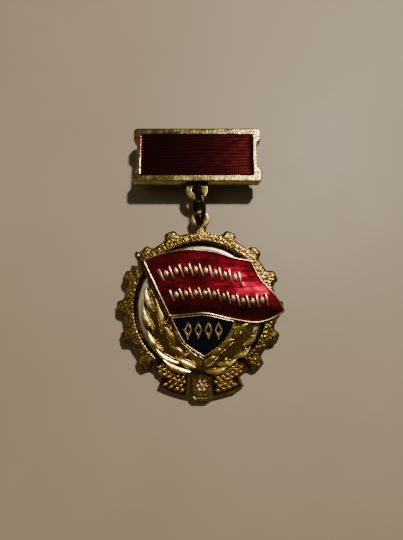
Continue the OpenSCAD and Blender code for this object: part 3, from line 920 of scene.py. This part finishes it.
# ---- shield ----
SHIELD_RIGHT = [(6.4, -2.65), (6, -4.2), (4.3, -6.8), (0.75, -9.3)]
SHIELD_LEFT = [(0.75, -9.3), (-1.6, -7.8), (-3.1, -6.5)]
SHIELD_LEFT += [on_pole(s) + 1.25 * POLE_SIDE for s in (0.99, 0.84)]
SHIELD_UPPER = [p - np.array((0, SIDE_GAP)) for p in (on_curve(FLAG_LOWER, 1 - i / 32) for i in range(29))
              if -4.3 < p[0] < 5.9]
SHIELD = SHIELD_UPPER + curve(SHIELD_RIGHT, 16) + curve(SHIELD_LEFT, 16)[1:]
LOZENGE_AT = [(1.85 * i - 2.15, -4.4) for i in range(4)]


def lozenge(x, y, z0, z1):
    """A hollow diamond: walls outside and inside, and a rounded ring on top."""
    outer = [(0.78, 1.72, z0), (0.78, 1.72, z1 - 0.1), (0.68, 1.5, z1)]
    inner = [(0.46, 1.02, z1), (0.36, 0.8, z1 - 0.1), (0.36, 0.8, z0)]
    rows = outer + inner
    verts = []
    for w, h, z in rows:
        verts += [(x + w, y, z), (x, y + h, z), (x - w, y, z), (x, y - h, z)]
    faces = []
    for r in range(len(rows)):
        for n in range(4):
            m, up = (n + 1) % 4, (r + 1) % len(rows)
            faces.append((r * 4 + n, r * 4 + m, up * 4 + m, up * 4 + n))
    return verts, faces


def shield_height(u, v, d):
    rim = half_round(d, SHIELD_BORDER)
    return np.where(d < SHIELD_BORDER, SHIELD_TOP - SHIELD_RIDGE + SHIELD_RIDGE * rim, SHIELD_BED)


def make_shield(metal, glaze):
    box = (-6.5, -9.8, 6.9, -0.9)
    plate = relief(lambda u, v: outline_d(SHIELD, u, v), shield_height, box, step=0.09, bottom=FIELD_Z)
    marks = [lozenge(x, y, SHIELD_BED - 0.1, SHIELD_TOP + 0.04) for x, y in LOZENGE_AT]
    on_pendant("shield_plate", together(plate, *marks), metal)
    coat = relief(
        lambda u, v: outline_d(SHIELD, u, v) - SHIELD_BORDER + SHIELD_TUCK,
        lambda u, v, d: SHIELD_GLAZE + 0.03 * np.exp(-d / 0.15) + 0.01 * grain(u, v, 0.8, 12),
        box, step=0.09, bottom=SHIELD_BED)
    on_pendant("shield_enamel", coat, glaze, sharp=50)


# ---- laurel ----
# each leaf: its foot, its tip, and how far its middle bends to the left of the way from foot to tip
LEFT_LEAVES = [
    ((-8.3, -1.2), (-9.9, 3.5), 0.5), ((-7.1, -1.3), (-8.6, 3.2), -0.3), ((-8.2, -4.4), (-10.2, -0.1), 0.6),
    ((-6.9, -5.1), (-8.0, 0.2), -0.4), ((-6.6, -8.0), (-9.4, -4.2), 0.7), ((-4.7, -8.0), (-6.6, -3.7), -0.4),
    ((-3.7, -10.2), (-8.0, -7.4), 0.7), ((-2.6, -9.9), (-5.6, -7.2), -0.3), ((-1.4, -11.7), (-6.7, -9.4), 0.7),
    ((-0.6, -11.0), (-4.6, -9.1), 0.2), ((0.3, -10.8), (-2.7, -8.0), -0.3)]
RIGHT_LEAVES = [
    ((7.4, -7.2), (10.3, -4.2), -0.6), ((6.4, -5.9), (9.2, -3.1), 0.3), ((4.9, -6.8), (7.2, -3.6), 0.4),
    ((5.9, -9.0), (9.2, -7.1), -0.6), ((3.6, -8.4), (6.6, -6.0), 0.4), ((3.0, -10.4), (6.9, -9.1), -0.6),
    ((1.9, -9.8), (4.7, -7.7), 0.4), ((0.9, -11.6), (5.2, -10.5), -0.6), ((0.7, -10.9), (3.4, -9.1), 0.3)]
LEFT_BERRIES = [(-9.3, -3.6), (-6.3, -3.2), (-8.2, -6.9), (-2.6, -8.9)]
RIGHT_BERRIES = [(9.4, -5.5), (7.4, -5.0), (8.2, -7.6), (4.6, -9.7)]
LEAF_HALF = 0.66
BERRY_R = 0.34


def leaf_at(leaf, u, v):
    """A share along the leaf, a share across it from -1 to 1, and its half width at each point."""
    (ax, ay), (bx, by), bend = leaf
    length = math.hypot(bx - ax, by - ay)
    ex, ey = (bx - ax) / length, (by - ay) / length
    s = ((u - ax) * ex + (v - ay) * ey) / length
    t = -(u - ax) * ey + (v - ay) * ex
    middle = 4 * bend * s * (1 - s)
    half = LEAF_HALF * np.sin(math.pi * np.clip(s, 0, 1) ** 0.85) ** 0.8
    return s, (t - middle) / np.maximum(half, 1e-3), half


def leaf_d(leaf, u, v):
    s, across, half = leaf_at(leaf, u, v)
    d = (1 - np.abs(across)) * np.maximum(half, 1e-3)
    return np.where((s > 0) & (s < 1), d, -np.hypot(np.abs(s - 0.5) * 2, across * 0.01) - 0.2)


def leaf_lift(leaf, u, v):
    """A leaf that is high along its outer edge and rounds down to the inner one; 0 outside it."""
    s, across, _ = leaf_at(leaf, u, v)
    outward = across * (1 if leaf[2] >= 0 else -1)
    inside = (s > 0) & (s < 1) & (np.abs(across) < 1)
    t = np.clip((1 - outward) / 2, 0, 1)
    along = 0.5 + 0.5 * np.sin(math.pi * np.clip(s, 0, 1) ** 0.9)
    rounded = np.sqrt(np.maximum(1 - t * t, 0)) * np.sqrt(np.clip(t / 0.12, 0.25, 1))
    return np.where(inside, LEAF_H * (0.12 + 0.88 * rounded) * along, 0)


def spray_lift(leaves, u, v):
    """Later leaves lie over earlier ones."""
    z = np.zeros(u.shape)
    for leaf in leaves:
        lift = leaf_lift(leaf, u, v)
        z = np.where(lift > 0, lift, z)
    return z


LEFT_GROUND = ([(-9.1, 3.6), (-9.3, 0.6), (-9.1, -2.6), (-8.4, -5.6), (-6.8, -8.2), (-4.6, -10.2),
                (-2.0, -11.4), (0.55, -11.75), (0.75, -9.5)]
               + [tuple(p - (SIDE_GAP, SIDE_GAP)) for p in curve(SHIELD_LEFT[:-2], 12)]
               + [tuple(POLE_END + POLE_SIDE - (0, SIDE_GAP)), tuple(POLE_END - POLE_SIDE),
                  tuple(on_pole(0.36) - POLE_SIDE)])
RIGHT_GROUND = ([(0.6, -11.75), (3.2, -11.1), (6.2, -9.6), (8.4, -7.4), (9.7, -4.9), (9.9, -3.3)]
                + [(9.6, -3.0), (6.2, -2.5)]
                + [tuple(p + (2 * SIDE_GAP, -SIDE_GAP)) for p in curve(SHIELD_RIGHT, 16)])


def make_laurel(name, leaves, ground, berries, material):
    lo = np.min([p for leaf in leaves for p in leaf[:2]] + ground, 0) - 1.0
    hi = np.max([p for leaf in leaves for p in leaf[:2]] + ground, 0) + 1.0

    def distance(u, v):
        d = outline_d(ground, u, v)
        for leaf in leaves:
            d = join(d, leaf_d(leaf, u, v), 0.15)
        keep = np.minimum(-outline_d(SHIELD, u, v) - SIDE_GAP, -outline_d(FLAG, u, v) - SIDE_GAP)
        side = (u - POLE_TOP[0]) * POLE_WAY[1] - (v - POLE_TOP[1]) * POLE_WAY[0] - POLE_R - SIDE_GAP
        below_pole = POLE_END[1] - SIDE_GAP - v
        off_pole = np.where(u < POLE_END[0] + 2 * POLE_R, np.maximum(side, below_pole), FAR)
        return np.minimum(np.minimum(d, keep), off_pole)

    def height(u, v, d):
        z = WREATH_Z + spray_lift(leaves, u, v) + 0.01 * grain(u, v, 0.4, 21)
        for x, y in berries:
            inside = BERRY_R ** 2 - (u - x) ** 2 - (v - y) ** 2
            z = np.maximum(z, np.where(inside > 0, WREATH_Z + 0.3 + np.sqrt(np.maximum(inside, 0)), 0))
        return z - edge_drop(d, 0.16)

    # painted shade, darker the lower the surface stands: down between the leaves and at the ground
    def painted_shade(u, v, w):
        return 0.9 * (1 - step_up(w - WREATH_Z + 0.06, 0.22))

    mesh = relief(distance, height, (lo[0], lo[1], hi[0], hi[1]), step=0.065, bottom=FIELD_Z)
    on_pendant(name, mesh, material, sharp=60, painted_shade=painted_shade)


# ---- wheat ears ----
def polar(r, degrees):
    a = math.radians(degrees)
    return (r * math.sin(a), -r * math.cos(a))


def arc(r, a0, a1, n):
    return [polar(r, a0 + (a1 - a0) * i / n) for i in range(n + 1)]


WHEAT = arc(12, 11, 38, 12) + [polar(13.9, 37.5), polar(14.3, 28)] + arc(16.1, 27.5, 9, 10)
GRAIN_ROWS = [(12.5, 35.5), (13.25, 35), (13.95, 33), (14.7, 26), (15.4, 26)]


def make_wheat(name, side, material):
    zone = [(side * x, y) for x, y in WHEAT]
    seeds = []
    for n, (r, last) in enumerate(GRAIN_ROWS):
        for a in np.arange(12.2 + 1.9 * (n % 2), last, 4.0):
            x, y = polar(r, a)
            seeds.append((side * x, y, math.radians(side * (a + 60) - 90)))

    bed = WHEAT_Z - 0.08

    def height(u, v, d):
        z = np.full(u.shape, bed)
        for x, y, turn in seeds:
            p = (u - x) * math.cos(turn) + (v - y) * math.sin(turn)
            q = -(u - x) * math.sin(turn) + (v - y) * math.cos(turn)
            inside = 1 - (p / 0.62) ** 2 - (q / (0.36 - 0.12 * p)) ** 2
            dome = (GRAIN_H + 0.1) * np.sqrt(np.maximum(inside, 0)) - 0.07 * np.exp(-(q / 0.07) ** 2)
            z = np.maximum(z, np.where(inside > 0, bed + dome, 0))
        return z - edge_drop(d, 0.14)

    # painted shade on the bed between the grains, fading up their sides
    def painted_shade(u, v, w):
        return 1 - step_up(w - WHEAT_Z + 0.08, 0.3)

    lo, hi = np.min(zone, 0) - 0.4, np.max(zone, 0) + 0.4
    box = (lo[0], lo[1], hi[0], hi[1])
    mesh = relief(lambda u, v: outline_d(zone, u, v), height, box, step=0.08, bottom=FLANGE_Z)
    on_pendant(name, mesh, material, sharp=60, painted_shade=painted_shade)


# ---- emblem plate with its rosette ----
EMBLEM = [(-1.9, 2), (1.9, 2), (1.9, -2), (1.2, -2.55), (-1.2, -2.55), (-1.9, -2)]


def make_emblem(plate_look, rosette_look):
    mu, mv = EMBLEM_MID
    zone = [(mu + x, mv + y) for x, y in EMBLEM]

    def height(u, v, d):
        x, y = u - mu, v - mv
        frame_rib = 0.14 * np.exp(-((d - 0.28) / 0.1) ** 2)
        bent = 0.1 * sum(np.exp(-((x - c - 0.1 * y * y) / 0.07) ** 2) for c in (1.15, 1.42))
        dish = -0.08 * np.exp(-(np.hypot(x, y) / 1.4) ** 4)
        z = EMBLEM_Z + frame_rib + bent * (np.abs(y) < 1.5) + dish
        return z + 0.012 * grain(u, v, 0.3, 41) - edge_drop(d, 0.15)

    box = (mu - 2.2, mv - 2.9, mu + 2.2, mv + 2.3)
    plate = relief(lambda u, v: outline_d(zone, u, v), height, box, step=0.07, bottom=FLANGE_Z)
    on_pendant("emblem_plate", plate, plate_look, sharp=50)

    def rosette_d(u, v):
        d = 0.5 - np.hypot(u - mu, v - mv)
        for n in range(6):
            a = math.radians(60 * n)
            d = join(d, 0.42 - np.hypot(u - mu - 0.85 * math.cos(a), v - mv - 0.85 * math.sin(a)), 0.12)
        return d

    def rosette_height(u, v, d):
        r = np.hypot(u - mu, v - mv)
        heart = 0.16 * np.sqrt(np.maximum(1 - (r / 0.42) ** 2, 0))
        return EMBLEM_Z - 0.05 + (ROSETTE_Z - EMBLEM_Z) * np.sqrt(np.clip(d / 0.4, 0.02, 1)) + heart

    box = (mu - 1.5, mv - 1.5, mu + 1.5, mv + 1.5)
    flower = relief(rosette_d, rosette_height, box, step=0.05, bottom=EMBLEM_Z - 0.1)
    on_pendant("emblem_rosette", flower, rosette_look, sharp=60)


# ---- jump ring ----
def make_ring(material):
    """A wire ring; a narrow notch shows where the wire's two ends meet."""
    joint = JOINTS["pendant_swing"]
    middle = Vector(joint["pos_m"]) / MM
    axis = -Vector(joint["axis"])
    verts, faces = [], []
    turns, around = 120, 20
    for n in range(turns):
        a = 2 * math.pi * n / turns
        notch = 0.09 * math.exp(-((a - 2.4) / 0.035) ** 2)
        wire = WIRE_R - notch + 0.008 * math.sin(5 * a + 1)
        for m in range(around):
            b = 2 * math.pi * m / around
            r = RING_R + wire * math.cos(b)
            verts.append((r * math.cos(a), r * math.sin(a), wire * math.sin(b)))
            faces.append((n * around + m, (n + 1) % turns * around + m,
                          (n + 1) % turns * around + (m + 1) % around, n * around + (m + 1) % around))
    place = Matrix.Translation(middle) @ axis.to_track_quat("Z", "Y").to_matrix().to_4x4()
    piece("jump_ring_shape", (verts, faces), place, material, "ring", ["jump_ring"], sharp=60)


# ---- bar ----
def bar_outline():
    w, h = BAR_W / 2, BAR_H / 2
    notch = [(w - NOTCH_D, NOTCH_L / 2 - CORNER / 2), (w, NOTCH_L / 2 + CORNER)]
    right_up = notch + [(w, h - CORNER), (w - CORNER, h)]
    left_up = [(-x, y) for x, y in reversed(right_up)]
    left_down = [(-x, -y) for x, y in right_up]
    right_down = [(x, -y) for x, y in reversed(right_up)]
    return right_up + left_up + left_down + right_down


BAR = bar_outline()


def bar_place():
    low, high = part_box("block_enamel")
    middle = (low + high) / 2 / MM
    return Matrix.Translation((middle.x, middle.y, low.z / MM - BAR_BED))


def window_d(u, v):
    return overlap(WINDOW_W / 2 - np.abs(u), WINDOW_H / 2 - np.abs(v), 0.3)


def bar_height(u, v, d):
    wall = step_up(window_d(u, v) + 0.05, 0.12)
    worn = 0.018 * grain(u, v * 3, 1.1, 51) + 0.008 * grain(u * 3, v, 0.5, 52)
    edge = edge_drop(d, 0.2) + 0.06 * edge_drop(-window_d(u, v), 0.2)
    top = BAR_T + worn * (1 - wall) - edge
    return top - (BAR_T - BAR_BED) * wall


def make_bar(metal, glaze):
    place = bar_place()
    box = (-BAR_W / 2 - 0.3, -BAR_H / 2 - 0.3, BAR_W / 2 + 0.3, BAR_H / 2 + 0.3)
    body = relief(lambda u, v: outline_d(BAR, u, v), bar_height, box, step=0.1, bottom=0.0)
    lug_v = -BAR_H / 2 - LUG_REACH

    def lug_distance(u, v):
        r = np.hypot(u, v - lug_v)
        return np.minimum(np.minimum(LUG_R - r, r - LUG_HOLE), -BAR_H / 2 + 0.1 - v)

    def lug_height(u, v, d):
        r = np.hypot(u, v - lug_v)
        rounded = LUG_T - edge_drop(LUG_R - r, 0.22) - edge_drop(r - LUG_HOLE, 0.18)
        return rounded + 0.012 * grain(u, v, 0.5, 53)

    lug_box = (-LUG_R - 0.2, lug_v - LUG_R - 0.2, LUG_R + 0.2, -BAR_H / 2 + 0.2)
    lug = relief(lug_distance, lug_height, lug_box, step=0.08, bottom=0.0)
    piece("block_plate_shape", together(body, lug), place, metal, "bar", ["block_plate"])
    coat_box = (-WINDOW_W / 2 - 0.3, -WINDOW_H / 2 - 0.3, WINDOW_W / 2 + 0.3, WINDOW_H / 2 + 0.3)
    coat = relief(
        lambda u, v: window_d(u, v) + 0.02,
        lambda u, v, d: BAR_GLAZE + 0.1 * np.exp(-d / 0.35) + 0.012 * grain(u * 0.5, v, 0.8, 54),
        coat_box, step=0.12, bottom=BAR_BED - 0.02)
    piece("block_enamel_shape", coat, place, glaze, "bar", ["block_enamel"], sharp=50)


# ---- the clasp and the rivets stay as they were cut, with a finish of their own ----
def finish_node(name, material):
    obj = NODES[name]
    obj.data.materials.clear()
    obj.data.materials.append(material)


def make_floor(material):
    """A plain square floor, in metres, a hair below the part."""
    low = cad_box[0].z - 0.00001
    half = 1.2
    data = bpy.data.meshes.new("table")
    corners = [(-half, -half, low), (half, -half, low), (half, half, low), (-half, half, low)]
    data.from_pydata(corners, [], [(0, 1, 2, 3)])
    data.materials.append(material)
    obj = bpy.data.objects.new("table", data)
    bpy.context.scene.collection.objects.link(obj)


def main():
    make_camera()
    make_light()
    grained = grained_gilt()
    worn = gilt("gilt_worn", (0.22, 0.155, 0.045), (0.42, 0.31, 0.11), (0.2, 0.32), 1.6, 0.012)
    seeded = gilt("gilt_seeded", (0.34, 0.20, 0.04), (0.66, 0.44, 0.11), (0.18, 0.3), 2.4, 0.03)
    polished = gilt("gilt_polished", (0.52, 0.375, 0.10), (0.84, 0.62, 0.20), (0.16, 0.25), 1.2, 0.012)
    pale = gilt("gilt_pale", (0.42, 0.28, 0.15), (0.72, 0.52, 0.30), (0.2, 0.32), 2.0, 0.012)
    field = gilt("gilt_field", (0.36, 0.30, 0.19), (0.60, 0.52, 0.37), (0.24, 0.38), 2.0, 0.012)
    brushed = gilt("gilt_bar", (0.18, 0.135, 0.045), (0.38, 0.30, 0.12), (0.16, 0.27), 1.6, 0.025,
                   streak=(0.25, 1.4, 1))
    brass = gilt("clasp_brass", (0.46, 0.35, 0.16), (0.64, 0.51, 0.26), (0.3, 0.46), 1.4, 0.02,
                 streak=(0.3, 1.2, 1))
    make_gear(grained, worn)
    make_disc(field)
    make_flag(pale, flag_enamel_look())
    make_pole(brushed)
    make_shield(pale, shield_enamel_look())
    make_laurel("laurel_left", LEFT_LEAVES, LEFT_GROUND, LEFT_BERRIES, polished)
    make_laurel("laurel_right", RIGHT_LEAVES, RIGHT_GROUND, RIGHT_BERRIES, polished)
    make_wheat("wheat_left", -1, seeded)
    make_wheat("wheat_right", 1, seeded)
    make_emblem(worn, pale)
    make_ring(dark_wire())
    make_bar(brushed, bar_enamel())
    for name in ("rivet_left", "rivet_right", "hinge_bracket", "hinge_rivet", "catch_clip"):
        finish_node(name, brass)
    finish_node("brooch_pin", steel())
    make_floor(table_top())


main()
